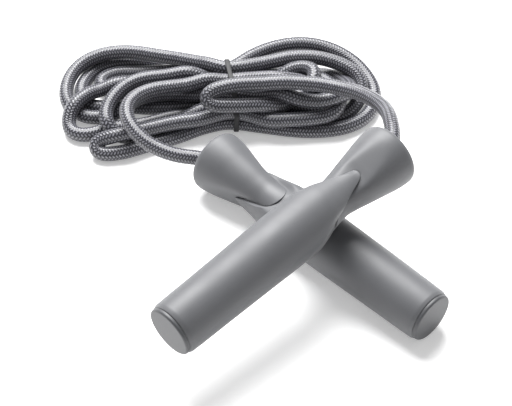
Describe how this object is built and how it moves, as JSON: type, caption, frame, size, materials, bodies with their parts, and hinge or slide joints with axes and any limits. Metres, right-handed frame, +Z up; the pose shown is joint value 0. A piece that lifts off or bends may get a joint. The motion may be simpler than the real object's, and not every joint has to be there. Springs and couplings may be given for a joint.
{
  "type": "jump rope",
  "caption": "Jump rope with a braided cord wound in a tied hank and two round handles with flared mouths that swivel on the cord's ends.",
  "frame": {"origin": "on the floor, under the middle of the box round the two handles", "axes": "+Z up, +Y from the crossed handles' caps towards the tied cord, +X to the right with the caps nearest the viewer"},
  "size_m": [0.2272, 0.2699, 0.0716],
  "materials": {
    "grip": "satin soft-touch moulding, mid grey",
    "cap": "matte moulded, mid grey",
    "core": "extruded black",
    "bush": "turned natural acetal",
    "washer": "stamped",
    "ferrule": "turned",
    "clip": "spring steel",
    "rope": "braided, light grey picks over dark grey",
    "tie": "matte black"
  },
  "bodies": {
    "cord": {"rope_hank": "rope", "rope_lead_a": "rope", "rope_lead_b": "rope", "tie": "tie", "ferrule_a": "ferrule", "ferrule_b": "ferrule", "clip_a": "clip", "clip_b": "clip"},
    "handle_a": {"barrel_a": "grip", "horn_a": "grip", "core_tube_a": "core", "bush_a": "bush", "washer_a": "washer"},
    "handle_b": {"barrel_b": "grip", "horn_b": "grip", "core_tube_b": "core", "bush_b": "bush", "washer_b": "washer"},
    "end_cap_a": {"cap_a": "cap"},
    "end_cap_b": {"cap_b": "cap"}
  },
  "joints": [
    {"name": "swivel_a", "type": "hinge", "parent": "cord", "child": "handle_a", "pos_m": [0.03304, 0.0241, 0.05163], "axis": [0.7168, 0.6922, 0.0837], "continuous": true},
    {"name": "swivel_b", "type": "hinge", "parent": "cord", "child": "handle_b", "pos_m": [-0.03251, 0.05431, 0.01789], "axis": [-0.7131, 0.7008, 0.0209], "continuous": true},
    {"name": "cap_pull_a", "type": "slide", "parent": "handle_a", "child": "end_cap_a", "axis": [-0.7168, -0.6922, -0.0837], "range_m": [0, 0.012]},
    {"name": "cap_pull_b", "type": "slide", "parent": "handle_b", "child": "end_cap_b", "axis": [0.7131, -0.7008, -0.0209], "range_m": [0, 0.012]}
  ]
}
